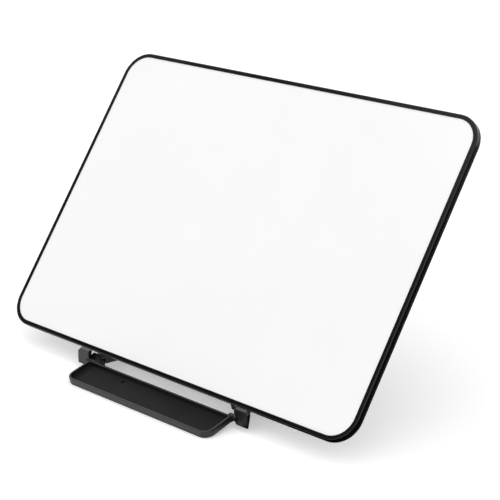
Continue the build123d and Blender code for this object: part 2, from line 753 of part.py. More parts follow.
# Plain dowel pins in the brackets, that the tray turns on.
lug_outer_x = side_plate_x - joint_gap
lug_inner_x = lug_outer_x - tray_lug_width
with BuildPart() as right_tray_pin:
    with BuildSketch(side_plane.offset(lug_inner_x)):
        with Locations((eye_y, eye_z)):
            Circle(tray_pin_radius)
    extrude(amount=pin_end_x - lug_inner_x)
right_tray_pin.part.label = "right_tray_pin"
export_step(right_tray_pin.part, "parts/right_tray_pin.step")

with BuildPart() as left_tray_pin:
    mirror(right_tray_pin.part, about=Plane.YZ)
left_tray_pin.part.label = "left_tray_pin"
export_step(left_tray_pin.part, "parts/left_tray_pin.step")


def hollow_bar(front, back, pockets):
    """A crossbar between the rails, moulded hollow from below between its solid stretches."""
    with BuildSketch(Plane(origin=(0, hinge_y, bar_base_z))) as bar:
        with BuildLine():
            Polyline(
                (-rail_inner_at(front), front),
                (rail_inner_at(front), front),
                (rail_inner_at(back), back),
                (-rail_inner_at(back), back),
                close=True,
            )
        make_face()
    extrude(bar.sketch, amount=bar_height)
    with BuildSketch(Plane(origin=(0, hinge_y, bar_base_z))) as hollows:
        for start, end in pockets:
            with Locations(((start + end) / 2, (front + back) / 2)):
                Rectangle(end - start, back - front - 2 * rail_wall)
    extrude(hollows.sketch, amount=bar_height - rail_wall, mode=Mode.SUBTRACT)


inner_pocket = rack_inner_x - rail_wall
outer_pocket = rack_outer_x + rail_wall
end_pocket = rail_inner_at(mid_bar_y) - long_screw
with BuildPart() as mid_crossbar:
    hollow_bar(
        mid_bar_y,
        mid_bar_y + crossbar_width,
        ((-end_pocket, -outer_pocket), (-inner_pocket, inner_pocket), (outer_pocket, end_pocket)),
    )
    drill(rail_screws_at, long_screw)
    drill(rack_screws_at, long_screw)
mid_crossbar.part.label = "mid_crossbar"
export_step(mid_crossbar.part, "parts/mid_crossbar.step")

with BuildPart() as rear_crossbar:
    hollow_bar(rear_bar_y, base_back, ((-inner_pocket, inner_pocket),))
    drill(rail_screws_at, long_screw)
    drill(rack_screws_at, long_screw)
rear_crossbar.part.label = "rear_crossbar"
export_step(rear_crossbar.part, "parts/rear_crossbar.step")

# A rack: a bar between the crossbars with the slot that the roller runs in, and a notch
# in the slot's lower side for each set angle of the board.
rack_start = mid_bar_y + crossbar_width
slot_middle = (slider_near + slider_far) / 2
slide_cos = cos(radians(slide_angle))
slide_sin = sin(radians(slide_angle))
with BuildPart() as right_rack:
    with BuildSketch(side_plane.offset(rack_inner_x)):
        with Locations((rack_start, bar_base_z - hinge_height)):
            Rectangle(rear_bar_y - rack_start, bar_height, align=(Align.MIN, Align.MIN))
        with Locations((slot_middle * slide_cos, -slot_middle * slide_sin)):
            SlotCenterToCenter(
                slider_far - slider_near,
                2 * slot_half,
                rotation=-slide_angle,
                mode=Mode.SUBTRACT,
            )
        for angle in notch_angles:
            travel = slider_travel(angle)
            with Locations((travel * slide_cos, -travel * slide_sin - notch_drop)):
                Circle(slot_half, mode=Mode.SUBTRACT)
    extrude(amount=rack_width)
    drill(rack_screws_at, long_screw)
right_rack.part.label = "right_rack"
export_step(right_rack.part, "parts/right_rack.step")

with BuildPart() as left_rack:
    mirror(right_rack.part, about=Plane.YZ)
left_rack.part.label = "left_rack"
export_step(left_rack.part, "parts/left_rack.step")

with BuildPart() as frame_screws:
    drive(rail_screws_at, long_screw)
    drive(rack_screws_at, long_screw)
    drive(tongue_screws_at, short_screw)
frame_screws.part.label = "frame_screws"
export_step(frame_screws.part, "parts/frame_screws.step")

# Rubber feet, pressed into their seats.
with BuildPart() as rubber_feet:
    for spot in (front_foot, rear_foot):
        with BuildSketch():
            with Locations((spot.X, spot.Y), (-spot.X, spot.Y)):
                Circle(foot_radius)
        extrude(amount=rail_base_z + foot_recess)
    chamfer(rubber_feet.edges().group_by(Axis.Z)[0], foot_edge)
rubber_feet.part.label = "rubber_feet"
export_step(rubber_feet.part, "parts/rubber_feet.step")

# ---------------------------------------------------------------- pen tray


def tray_outline(inset, mode=Mode.ADD):
    """The tray's outline in its own plane, drawn in from its edge."""
    with BuildSketch(mode=Mode.PRIVATE) as outline:
        with Locations((0, -(tray_pivot_gap + tray_depth / 2))):
            Rectangle(2 * (tray_half_width - inset), tray_depth - 2 * inset)
        fillet(outline.vertices().group_by(Axis.Y)[0], tray_corner_radius - inset)
        fillet(outline.vertices().group_by(Axis.Y)[-1], tray_back_radius - inset)
    add(outline.sketch, mode=mode)


# The tray: a shallow dish with a raised rim, and a lug at each rear corner on the pins.
tray_up = Axis((0, 0, 0), tray_normal)
tray_side = Plane(origin=tray_point, x_dir=tuple(tray_plane.y_dir), z_dir=(1, 0, 0))
with BuildPart() as pen_tray:
    with BuildSketch(tray_plane.offset(-tray_below_pivot)):
        tray_outline(0)
    extrude(amount=tray_height)
    with BuildSketch(tray_plane.offset(tray_floor - tray_below_pivot)):
        tray_outline(tray_wall)
    extrude(amount=tray_height, mode=Mode.SUBTRACT)
    floor_face = pen_tray.faces().filter_by(tray_plane).sort_by(tray_up)[1]
    fillet(floor_face.edges(), tray_bowl_radius)
    rim_face = pen_tray.faces().sort_by(tray_up)[-1]
    fillet(rim_face.edges(), tray_rim_radius)
    under_face = pen_tray.faces().sort_by(tray_up)[0]
    fillet(under_face.edges(), tray_edge_radius)
    for lug_x in (-lug_outer_x, lug_inner_x):
        with BuildSketch(tray_side.offset(lug_x)):
            Circle(tray_lug_radius)
            with Locations((0, (tray_lug_radius - tray_below_pivot) / 2)):
                Rectangle(
                    tray_pivot_gap + tray_wall,
                    tray_lug_radius + tray_below_pivot - tray_edge_radius,
                    align=(Align.MAX, Align.CENTER),
                )
        extrude(amount=tray_lug_width)
        with BuildSketch(tray_side.offset(lug_x)):
            Circle(tray_pin_radius + pin_fit)
        extrude(amount=tray_lug_width, mode=Mode.SUBTRACT)
pen_tray.part.label = "pen_tray"
export_step(pen_tray.part, "parts/pen_tray.step")
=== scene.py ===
"""Finishes, lights and frames a desk whiteboard on its folding base, round its CAD model."""

import json
import math

import bmesh
import bpy
from bpy.props import FloatProperty, FloatVectorProperty, PointerProperty
from mathutils import Matrix, Vector

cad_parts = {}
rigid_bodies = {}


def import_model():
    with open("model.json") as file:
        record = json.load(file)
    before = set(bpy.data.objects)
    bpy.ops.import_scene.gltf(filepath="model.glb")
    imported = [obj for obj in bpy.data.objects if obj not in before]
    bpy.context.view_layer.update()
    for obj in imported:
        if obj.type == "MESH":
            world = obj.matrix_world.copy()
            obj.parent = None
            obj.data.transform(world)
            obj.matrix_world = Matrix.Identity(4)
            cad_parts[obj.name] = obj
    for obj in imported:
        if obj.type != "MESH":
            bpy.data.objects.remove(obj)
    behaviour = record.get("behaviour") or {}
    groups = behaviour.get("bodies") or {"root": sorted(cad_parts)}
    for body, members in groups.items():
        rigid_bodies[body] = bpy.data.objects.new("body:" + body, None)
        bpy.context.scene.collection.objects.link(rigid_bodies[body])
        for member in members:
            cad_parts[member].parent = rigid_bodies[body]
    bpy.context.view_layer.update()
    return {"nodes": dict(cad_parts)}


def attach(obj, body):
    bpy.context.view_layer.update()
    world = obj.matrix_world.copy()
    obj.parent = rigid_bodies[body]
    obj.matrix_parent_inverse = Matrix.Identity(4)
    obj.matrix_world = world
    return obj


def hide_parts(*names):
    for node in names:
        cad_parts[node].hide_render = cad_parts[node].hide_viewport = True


bl_info = {
    "name": "Desk Whiteboard",
    "version": (1, 0, 0),
    "blender": (4, 5, 0),
    "location": "View3D > Sidebar > Whiteboard",
    "description": "Finishes and lights a tilting desk whiteboard with a pen tray",
    "category": "Object",
}

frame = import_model()

MM = 0.001
# Corners nearer than this are one corner, which CAD meshes repeat at their faces' edges.
WELD = 0.001 * MM

BASE_BARS = ("left_side_rail", "right_side_rail", "mid_crossbar", "rear_crossbar")
BRACKETS = ("left_front_bracket", "right_front_bracket")
RACKS = ("left_rack", "right_rack")
PRESSED_STEEL = ("left_hinge_leaf", "right_hinge_leaf", "left_prop_clevis", "right_prop_clevis")
BLACK_PINS = ("left_hinge_pin", "right_hinge_pin", "left_tray_pin", "right_tray_pin")
BRIGHT_PINS = ("prop_pivot_pins", "slider_rod")
SCREW_SETS = ("hinge_leaf_screws", "prop_clevis_screws", "frame_screws")


# ------------------------------------------------------------------ colours and nodes


def linear(code):
    """The linear red, green and blue of an sRGB hex colour."""
    shares = [int(code[place : place + 2], 16) / 255 for place in (0, 2, 4)]
    return tuple(v / 12.92 if v <= 0.04045 else ((v + 0.055) / 1.055) ** 2.4 for v in shares)


def shade(colour, share=1.0):
    """A share of a colour, as a node socket takes it."""
    return (*(min(1.0, value * share) for value in colour), 1.0)


def add_node(tree, kind, settings=(), links=()):
    """Adds a node, fills in its settings and sockets, and feeds sockets from other outputs.

    A socket goes by its identifier, and the stops of a colour ramp are (place, colour) pairs."""
    node = tree.nodes.new(kind)
    sockets = {socket.identifier: socket for socket in node.inputs}
    for name, value in dict(settings).items():
        if name == "stops":
            for stop, (place, colour) in zip(node.color_ramp.elements, value):
                stop.position = place
                stop.color = colour
        elif name in sockets:
            sockets[name].default_value = value
        else:
            setattr(node, name, value)
    for name, output in links:
        tree.links.new(output, sockets[name])
    return node


def new_material(name):
    """An empty node material, and its tree."""
    material = bpy.data.materials.new(name)
    material.use_nodes = True
    material.node_tree.nodes.clear()
    return material, material.node_tree


# ------------------------------------------------------------------ materials

# Noise lies mostly between these values, so ramps and ranges are stretched over them.
NOISE_LOW = 0.3
NOISE_HIGH = 0.7

# Widths of what shows on the pieces' skins.
FLOW_CLOUD = 35 * MM
OIL_PATCH = 3 * MM
ROLLED_PATCH = 4 * MM
PAPER_FIBRE = 2 * MM


def wave_scale(spacing):
    """The scale at which a wave texture's bands lie this far apart: they follow sin(20 scale x)."""
    return 2 * math.pi / (20 * spacing)


def fired_enamel(finish):
    """Vitreous enamel fired on sheet steel: a hard clear gloss over white, faintly rippled."""
    material, tree = new_material("fired_white_enamel_on_steel")
    places = add_node(tree, "ShaderNodeTexCoord").outputs["Object"]
    # Wiping leaves the gloss a little uneven, in patches as wide as a cloth.
    wiped = add_node(
        tree,
        "ShaderNodeTexNoise",
        {"Scale": 1 / finish.wipe_width, "Detail": 3.0},
        [("Vector", places)],
    ).outputs["Fac"]
    gloss = add_node(
        tree,
        "ShaderNodeMapRange",
        {"From Min": NOISE_LOW, "From Max": NOISE_HIGH, "To Min": 0.14, "To Max": 0.2},
        [("Value", wiped)],
    ).outputs["Result"]
    white = add_node(
        tree,
        "ShaderNodeValToRGB",
        {"stops": ((NOISE_LOW, shade(finish.enamel, 0.99)), (NOISE_HIGH, shade(finish.enamel)))},
        [("Fac", wiped)],
    ).outputs["Color"]
    # The glaze ripples as it melts, which bends reflections slightly.
    ripple = add_node(
        tree,
        "ShaderNodeTexNoise",
        {"Scale": 1 / finish.ripple_spacing, "Detail": 1.0},
        [("Vector", places)],
    ).outputs["Fac"]
    skin = add_node(
        tree,
        "ShaderNodeBump",
        {"Strength": 1.0, "Distance": finish.ripple_spacing * 0.003},
        [("Height", ripple)],
    ).outputs["Normal"]
    shader = add_node(
        tree,
        "ShaderNodeBsdfPrincipled",
        {"IOR": 1.5},
        [("Base Color", white), ("Roughness", gloss), ("Normal", skin)],
    )
    add_node(tree, "ShaderNodeOutputMaterial", (), [("Surface", shader.outputs[0])])
    return material


def moulded_abs(name, colour, grain, sheen, depth=0.015, specular=0.5):
    """Black ABS from a spark-eroded mould: a fine grain with a soft sheen, from sheen[0] to
    sheen[1] in roughness. Depth is the grain's, as a share of its spacing."""
    material, tree = new_material(name)
    places = add_node(tree, "ShaderNodeTexCoord").outputs["Object"]
    # The mould's grain spreads highlights, and shows as a fine tooth close up.
    pits = add_node(
        tree,
        "ShaderNodeTexNoise",
        {"Scale": 1 / grain, "Detail": 3.0, "Roughness": 0.6},
        [("Vector", places)],
    ).outputs["Fac"]
    tooth = add_node(
        tree,
        "ShaderNodeBump",
        {"Strength": 1.0, "Distance": grain * depth},
        [("Height", pits)],
    ).outputs["Normal"]
    body = add_node(
        tree,
        "ShaderNodeValToRGB",
        {"stops": ((NOISE_LOW, shade(colour, 0.8)), (NOISE_HIGH, shade(colour, 1.2)))},
        [("Fac", pits)],
    ).outputs["Color"]
    # The flow of the plastic leaves faint clouds in the sheen.
    clouds = add_node(
        tree,
        "ShaderNodeTexNoise",
        {"Scale": 1 / FLOW_CLOUD, "Detail": 2.0},
        [("Vector", places)],
    ).outputs["Fac"]
    gloss = add_node(
        tree,
        "ShaderNodeMapRange",
        {"From Min": NOISE_LOW, "From Max": NOISE_HIGH, "To Min": sheen[0], "To Max": sheen[1]},
        [("Value", clouds)],
    ).outputs["Result"]
    shader = add_node(
        tree,
        "ShaderNodeBsdfPrincipled",
        {"IOR": 1.53, "Specular IOR Level": specular},
        [("Base Color", body), ("Roughness", gloss), ("Normal", tooth)],
    )
    add_node(tree, "ShaderNodeOutputMaterial", (), [("Surface", shader.outputs[0])])
    return material


def powder_coated_steel(colour, peel_width):
    """Black powder coat on pressed steel: an orange-peel skin with a low, broad gloss."""
    material, tree = new_material("powder_coated_black_steel")
    places = add_node(tree, "ShaderNodeTexCoord").outputs["Object"]
    # The powder melts into shallow domes, so the gloss breaks up like the peel of an orange.
    peel = add_node(
        tree,
        "ShaderNodeTexNoise",
        {"Scale": 1 / peel_width, "Detail": 1.0},
        [("Vector", places)],
    ).outputs["Fac"]
    skin = add_node(
        tree,
        "ShaderNodeBump",
        {"Strength": 1.0, "Distance": peel_width * 0.04},
        [("Height", peel)],
    ).outputs["Normal"]
    coat = add_node(
        tree,
        "ShaderNodeValToRGB",
        {"stops": ((NOISE_LOW, shade(colour, 0.85)), (NOISE_HIGH, shade(colour, 1.15)))},
        [("Fac", peel)],
    ).outputs["Color"]
    gloss = add_node(
        tree,
        "ShaderNodeMapRange",
        {"From Min": NOISE_LOW, "From Max": NOISE_HIGH, "To Min": 0.42, "To Max": 0.55},
        [("Value", peel)],
    ).outputs["Result"]
    shader = add_node(
        tree,
        "ShaderNodeBsdfPrincipled",
        {"IOR": 1.5},
        [("Base Color", coat), ("Roughness", gloss), ("Normal", skin)],
    )
    add_node(tree, "ShaderNodeOutputMaterial", (), [("Surface", shader.outputs[0])])
    return material


def turned_steel(colour, ring_width):
    """Bright turned steel: fine tool rings round the pin, across its length."""
    material, tree = new_material("turned_bright_steel")
    places = add_node(tree, "ShaderNodeTexCoord").outputs["Object"]
    # The tool leaves a ring at each turn, which draws reflections out along the pin.
    rings = add_node(
        tree,
        "ShaderNodeTexWave",
        {
            "bands_direction": "X",
            "Scale": wave_scale(ring_width),
            "Distortion": 1.5,
            "Detail": 2.0,
        },
        [("Vector", places)],
    ).outputs["Fac"]
    tooling = add_node(
        tree,
        "ShaderNodeBump",
        {"Strength": 1.0, "Distance": ring_width * 0.04},
        [("Height", rings)],
    ).outputs["Normal"]
    # Oil and handling dull the bright metal in small patches.
    patches = add_node(
        tree,
        "ShaderNodeTexNoise",
        {"Scale": 1 / OIL_PATCH, "Detail": 2.0},
        [("Vector", places)],
    ).outputs["Fac"]
    metal = add_node(
        tree,
        "ShaderNodeValToRGB",
        {"stops": ((NOISE_LOW, shade(colour, 0.88)), (NOISE_HIGH, shade(colour)))},
        [("Fac", patches)],
    ).outputs["Color"]
    gloss = add_node(
        tree,
        "ShaderNodeMapRange",
        {"From Min": NOISE_LOW, "From Max": NOISE_HIGH, "To Min": 0.22, "To Max": 0.36},
        [("Value", patches)],
    ).outputs["Result"]
    shader = add_node(
        tree,
        "ShaderNodeBsdfPrincipled",
        {"Metallic": 1.0},
        [("Base Color", metal), ("Roughness", gloss), ("Normal", tooling)],
    )
    add_node(tree, "ShaderNodeOutputMaterial", (), [("Surface", shader.outputs[0])])
    return material


def black_zinc_steel(colour, speck_width):
    """Zinc-plated and blackened steel: dark, slightly oily metal with worn lighter specks."""
    material, tree = new_material("black_zinc_plated_steel")
    places = add_node(tree, "ShaderNodeTexCoord").outputs["Object"]
    # The thin black film wears off in specks, which are lighter and smoother.
    specks = add_node(
        tree,
        "ShaderNodeTexNoise",
        {"Scale": 1 / speck_width, "Detail": 4.0, "Roughness": 0.7},
        [("Vector", places)],
    ).outputs["Fac"]
    film = add_node(
        tree,
        "ShaderNodeValToRGB",
        {"stops": ((NOISE_LOW, shade(colour, 0.7)), (NOISE_HIGH, shade(colour, 1.5)))},
        [("Fac", specks)],
    ).outputs["Color"]
    gloss = add_node(
        tree,
        "ShaderNodeMapRange",
        {"From Min": NOISE_LOW, "From Max": NOISE_HIGH, "To Min": 0.5, "To Max": 0.32},
        [("Value", specks)],
    ).outputs["Result"]
    skin = add_node(
        tree,
        "ShaderNodeBump",
        {"Strength": 1.0, "Distance": speck_width * 0.03},
        [("Height", specks)],
    ).outputs["Normal"]
    shader = add_node(
        tree,
        "ShaderNodeBsdfPrincipled",
        {"Metallic": 1.0},
        [("Base Color", film), ("Roughness", gloss), ("Normal", skin)],
    )
    add_node(tree, "ShaderNodeOutputMaterial", (), [("Surface", shader.outputs[0])])
    return material


def machined_acetal(colour, ring_width):
    """Acetal turned from black bar: a waxy, slippery skin with faint rings from the tool."""
    material, tree = new_material("turned_black_acetal")
    places = add_node(tree, "ShaderNodeTexCoord").outputs["Object"]
    # Shallower than on steel, the rings only soften the shine.
    rings = add_node(
        tree,
        "ShaderNodeTexWave",
        {
            "bands_direction": "X",
            "Scale": wave_scale(ring_width),
            "Distortion": 0.8,
            "Detail": 1.0,
        },
        [("Vector", places)],
    ).outputs["Fac"]
    tooling = add_node(
        tree,
        "ShaderNodeBump",
        {"Strength": 1.0, "Distance": ring_width * 0.03},
        [("Height", rings)],
    ).outputs["Normal"]
    # Rolling polishes the wax unevenly.
    patches = add_node(
        tree,
        "ShaderNodeTexNoise",
        {"Scale": 1 / ROLLED_PATCH, "Detail": 2.0},
        [("Vector", places)],
    ).outputs["Fac"]
    body = add_node(
        tree,
        "ShaderNodeValToRGB",
        {"stops": ((NOISE_LOW, shade(colour, 0.85)), (NOISE_HIGH, shade(colour, 1.15)))},
        [("Fac", patches)],
    ).outputs["Color"]
    gloss = add_node(
        tree,
        "ShaderNodeMapRange",
        {"From Min": NOISE_LOW, "From Max": NOISE_HIGH, "To Min": 0.3, "To Max": 0.42},
        [("Value", patches)],
    ).outputs["Result"]
    shader = add_node(
        tree,
        "ShaderNodeBsdfPrincipled",
        {"IOR": 1.48},
        [("Base Color", body), ("Roughness", gloss), ("Normal", tooling)],
    )
    add_node(tree, "ShaderNodeOutputMaterial", (), [("Surface", shader.outputs[0])])
    return material


def moulded_rubber(colour, pit_width):
    """Black nitrile rubber: dead matte, with a dusty, slightly pitted skin."""
    material, tree = new_material("moulded_black_rubber")
    places = add_node(tree, "ShaderNodeTexCoord").outputs["Object"]
    # Dust settles in the pits, so they are greyer than the skin round them.
    pits = add_node(
        tree,
        "ShaderNodeTexNoise",
        {"Scale": 1 / pit_width, "Detail": 4.0, "Roughness": 0.65},
        [("Vector", places)],
    ).outputs["Fac"]
    body = add_node(
        tree,
        "ShaderNodeValToRGB",
        {"stops": ((NOISE_LOW, shade(colour, 1.8)), (NOISE_HIGH, shade(colour)))},
        [("Fac", pits)],
    ).outputs["Color"]
    gloss = add_node(
        tree,
        "ShaderNodeMapRange",
        {"From Min": NOISE_LOW, "From Max": NOISE_HIGH, "To Min": 0.9, "To Max": 0.72},
        [("Value", pits)],
    ).outputs["Result"]
    skin = add_node(
        tree,
        "ShaderNodeBump",
        {"Strength": 1.0, "Distance": pit_width * 0.08},
        [("Height", pits)],
    ).outputs["Normal"]
    shader = add_node(
        tree,
        "ShaderNodeBsdfPrincipled",
        {"IOR": 1.5},
        [("Base Color", body), ("Roughness", gloss), ("Normal", skin)],
    )
    add_node(tree, "ShaderNodeOutputMaterial", (), [("Surface", shader.outputs[0])])
    return material


def honeycomb_card(colour, cell):
    """Brown kraft card round open cells: matte and fibrous, with a cell pattern on its faces."""
    material, tree = new_material("kraft_honeycomb_card")
    places = add_node(tree, "ShaderNodeTexCoord").outputs["Object"]
    # The cells' walls press through the liner, so their edges stand a little proud.
    edges = add_node(
        tree,
        "ShaderNodeTexVoronoi",
        {"feature": "DISTANCE_TO_EDGE", "Scale": 1 / cell},
        [("Vector", places)],
    ).outputs["Distance"]
    relief = add_node(
        tree,
        "ShaderNodeBump",
        {"Strength": 1.0, "Distance": cell * 0.05, "invert": True},
        [("Height", edges)],
    ).outputs["Normal"]
    fibres = add_node(
        tree,
        "ShaderNodeTexNoise",
        {"Scale": 12 / cell, "Detail": 4.0},
        [("Vector", places)],
    ).outputs["Fac"]
    card = add_node(
        tree,
        "ShaderNodeValToRGB",
        {"stops": ((NOISE_LOW, shade(colour, 0.75)), (NOISE_HIGH, shade(colour)))},
        [("Fac", fibres)],
    ).outputs["Color"]
    shader = add_node(
        tree,
        "ShaderNodeBsdfPrincipled",
        {"Roughness": 0.9},
        [("Base Color", card), ("Normal", relief)],
    )
    add_node(tree, "ShaderNodeOutputMaterial", (), [("Surface", shader.outputs[0])])
    return material


def coat(names, material):
    """Gives a material to every slot of these CAD nodes."""
    for name in names:
        for slot in frame["nodes"][name].material_slots:
            slot.material = material


# ------------------------------------------------------------------ what a user can change


class BoardFinish(bpy.types.PropertyGroup):
    """Finish of the writing panel, its shells and its core."""

    enamel: FloatVectorProperty(
        name="Enamel",
        description="Colour of the fired enamel",
        subtype="COLOR",
        default=linear("FAFAFA"),
    )
    bezel: FloatVectorProperty(
        name="Bezel",
        description="Colour of the moulded bezel",
        subtype="COLOR",
        default=linear("080809"),
    )
    cover: FloatVectorProperty(
        name="Back cover",
        description="Colour of the moulded back cover",
        subtype="COLOR",
        default=linear("0E0E0F"),
    )
    card: FloatVectorProperty(
        name="Core",
        description="Colour of the honeycomb core",
        subtype="COLOR",
        default=linear("B59A72"),
    )
    wipe_width: FloatProperty(
        name="Wipe width",
        description="Width of the patches that wiping leaves in the gloss",
        unit="LENGTH",
        default=60 * MM,
    )
    ripple_spacing: FloatProperty(
        name="Ripple spacing",
        description="Spacing of the ripple in the glaze",
        unit="LENGTH",
        default=4 * MM,
    )
    cell: FloatProperty(
        name="Honeycomb cell",
        description="Width of a cell of the core",
        unit="LENGTH",
        default=8 * MM,
    )


class StandFinish(bpy.types.PropertyGroup):
    """Finish of the base, the prop, the tray and the metal parts."""

    plastic: FloatVectorProperty(
        name="Stand plastic",
        description="Colour of the moulded base and prop",
        subtype="COLOR",
        default=linear("0D0D0E"),
    )
    tray: FloatVectorProperty(
        name="Tray plastic",
        description="Colour of the tray's smooth outside",
        subtype="COLOR",
        default=linear("101011"),
    )
    # The dish's colour, darker than the tray's outside, is painted shade.
    dish: FloatVectorProperty(
        name="Tray dish",
        description="Colour of the tray's coarsely grained dish",
        subtype="COLOR",
        default=linear("0A0A0A"),
    )
    powder: FloatVectorProperty(
        name="Powder coat",
        description="Colour of the coated hinge leaves and clevises",
        subtype="COLOR",
        default=linear("1B1B1C"),
    )
    steel: FloatVectorProperty(
        name="Bright steel",
        description="Colour of the turned pins and the slider rod",
        subtype="COLOR",
        default=linear("C4C3C0"),
    )
    zinc: FloatVectorProperty(
        name="Black zinc",
        description="Colour of the blackened screws and hinge pins",
        subtype="COLOR",
        default=linear("303031"),
    )
    acetal: FloatVectorProperty(
        name="Rollers",
        description="Colour of the acetal rollers",
        subtype="COLOR",
        default=linear("1C1C1D"),
    )
    rubber: FloatVectorProperty(
        name="Rubber",
        description="Colour of the rubber feet",
        subtype="COLOR",
        default=linear("202021"),
    )
    grain: FloatProperty(
        name="Grain",
        description="Spacing of the mould's grain, drawn coarser than its real 0.1 mm",
        unit="LENGTH",
        default=0.6 * MM,
    )
    speck: FloatProperty(
        name="Speck",
        description="Width of the worn specks on the black zinc, drawn coarser than they are",
        unit="LENGTH",
        default=0.3 * MM,
    )
    tool_ring: FloatProperty(
        name="Tool rings",
        description="Spacing of the turning marks, drawn coarser than their real 0.1 mm",
        unit="LENGTH",
        default=0.3 * MM,
    )


class PieceSizes(bpy.types.PropertyGroup):
    """Sizes of the pieces that are modelled over the plain solids."""

    recess_span: FloatProperty(
        name="Cross recess",
        description="Length of each arm pair of the cross in a screw's head",
        unit="LENGTH",
        default=2.5 * MM,
    )
    recess_width: FloatProperty(
        name="Recess width",
        description="Width of the arms of the cross",
        unit="LENGTH",
        default=0.6 * MM,
    )
    rim_bead: FloatProperty(
        name="Rim bead",
        description="Depth of the smooth bead round the tray's rim, over its grained dish",
        unit="LENGTH",
        default=0.65 * MM,
    )
    gate_mark: FloatProperty(
        name="Gate mark",
        description="Width of the round well that the mould's gate leaves in the tray",
        unit="LENGTH",
        default=4.0 * MM,
    )
    gate_depth: FloatProperty(
        name="Gate depth",
        description="Depth of the gate's well",
        unit="LENGTH",
        default=1.2 * MM,
    )
    gate_across: FloatProperty(
        name="Gate across",
        description="Place of the gate's well, from the middle of the tray to its right",
        unit="LENGTH",
        default=-38.35 * MM,
    )
    gate_inset: FloatProperty(
        name="Gate inset",
        description="Distance of the gate's well from the back edge of the dish's flat floor",
        unit="LENGTH",
        default=2.4 * MM,
    )


class StageSettings(bpy.types.PropertyGroup):
    """Camera, lamp, black cards and floor."""

    camera_place: FloatVectorProperty(
        name="Camera",
        description="Place of the camera",
        subtype="XYZ",
        unit="LENGTH",
        default=(0.8669, -0.9247, 0.5638),
    )
    azimuth: FloatProperty(
        name="Azimuth",
        description="Turn of the camera to the right of the board's front",
        subtype="ANGLE",
        default=math.radians(41.83),
    )
    elevation: FloatProperty(
        name="Elevation",
        description="Angle that the camera looks down by",
        subtype="ANGLE",
        default=math.radians(19.29),
    )
    focal_length: FloatProperty(
        name="Focal length",
        description="Focal length of the camera, in millimetres",
        unit="CAMERA",
        default=107.2,
    )
    surround: FloatProperty(
        name="Surround",
        description="Strength of the light that comes from all round",
        default=1.04,
    )
    key_place: FloatVectorProperty(
        name="Key lamp's place",
        description="Place of the large soft lamp above the left of the board",
        subtype="XYZ",
        unit="LENGTH",
        default=(-1.6, 0.16, 2.0),
    )
    key_size: FloatProperty(
        name="Key lamp's width",
        description="Width of the soft lamp's square face",
        unit="LENGTH",
        default=0.9,
    )
    key_power: FloatProperty(
        name="Key lamp's power",
        description="Power of the soft lamp",
        unit="POWER",
        default=5.5,
    )
    front_flag_place: FloatVectorProperty(
        name="Front flag's place",
        description="Place of the black card that the bezel's front mirrors",
        subtype="XYZ",
        unit="LENGTH",
        default=(-1.26, -1.12, 1.2),
    )
    front_flag_size: FloatProperty(
        name="Front flag's width",
        description="Width of the front card",
        unit="LENGTH",
        default=1.3,
    )
    side_flag_place: FloatVectorProperty(
        name="Side flag's place",
        description="Place of the black card that the right side walls mirror, just over the floor",
        subtype="XYZ",
        unit="LENGTH",
        default=(0.82, 0.4, 0.002),
    )
    side_flag_size: FloatProperty(
        name="Side flag's width",
        description="Width of the side card",
        unit="LENGTH",
        default=1.45,
    )
    floor: FloatVectorProperty(
        name="Floor",
        description="Colour of the floor",
        subtype="COLOR",
        default=linear("EDEDED"),
    )
    floor_lift: FloatProperty(
        name="Floor lift",
        description="Glow that brings the open floor to the white of the background",
        default=0.31,
    )


# ------------------------------------------------------------------ shapes


def place_shape(name, shape):
    """Turns a bmesh into an object of the scene."""
    mesh = bpy.data.meshes.new(name)
    shape.to_mesh(mesh)
    shape.free()
    placed = bpy.data.objects.new(name, mesh)
    bpy.context.scene.collection.objects.link(placed)
    return placed


def make_piece(name, body, material, shape):
    """Turns a bmesh into a piece that rides on a body."""
    piece = place_shape(name, shape)
    piece.data.materials.append(material)
    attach(piece, body)
    return piece


def square_sheet(name, width):
    """A flat square, level, with its middle at the origin."""
    shape = bmesh.new()
    half = width / 2
    corners = ((-half, -half), (half, -half), (half, half), (-half, half))
    shape.faces.new([shape.verts.new((*corner, 0)) for corner in corners])
    return place_shape(name, shape)


def smooth(mesh, crease):
    """Shades a mesh smooth, with sharp edges where its faces turn by more than the crease."""
    mesh.polygons.foreach_set("use_smooth", [True] * len(mesh.polygons))
    mesh.set_sharp_from_angle(angle=crease)


def carve(piece, cutter):
    """Cuts the cutter's shape out of the piece, and removes the cutter."""
    cut = piece.modifiers.new("cut", "BOOLEAN")
    cut.object = cutter
    cut.operation = "DIFFERENCE"
    cut.solver = "EXACT"
    graph = bpy.context.evaluated_depsgraph_get()
    carved = bpy.data.meshes.new_from_object(piece.evaluated_get(graph))
    piece.modifiers.clear()
    piece.data = carved
    bpy.data.objects.remove(cutter)


def spin(profile, sides):
    """A closed shape turned round Z, from (radius, height) points that start and end on it."""
    shape = bmesh.new()
    rings = []
    for radius, height in profile[1:-1]:
        turns = [2 * math.pi * side / sides for side in range(sides)]
        places = [(radius * math.cos(turn), radius * math.sin(turn), height) for turn in turns]
        rings.append([shape.verts.new(place) for place in places])
    for low, high in zip(rings, rings[1:]):
        for side in range(sides):
            after = (side + 1) % sides
            shape.faces.new((low[side], low[after], high[after], high[side]))
    for ring, (_, height) in ((rings[0], profile[0]), (rings[-1], profile[-1])):
        tip = shape.verts.new((0, 0, height))
        for side in range(sides):
            shape.faces.new((ring[side], ring[(side + 1) % sides], tip))
    bmesh.ops.recalc_face_normals(shape, faces=shape.faces)
    return shape


# ------------------------------------------------------------------ screws

# Turns of the search for a plain screw's axis, many more than it takes to settle.
AXIS_TURNS = 40
# Corners further out than the first share of the head's radius are on its rim, and those within
# the second are the middles of the screw's ends.
HEAD_RIM = 0.95
END_MIDDLE = 0.3

# The new screw's tip is a share of its shank's radius. The side of its head and the depth of the
# recess are shares of the head's depth.
BLUNT_TIP = 0.45
HEAD_SIDE = 0.45
RECESS_DEPTH = 0.75
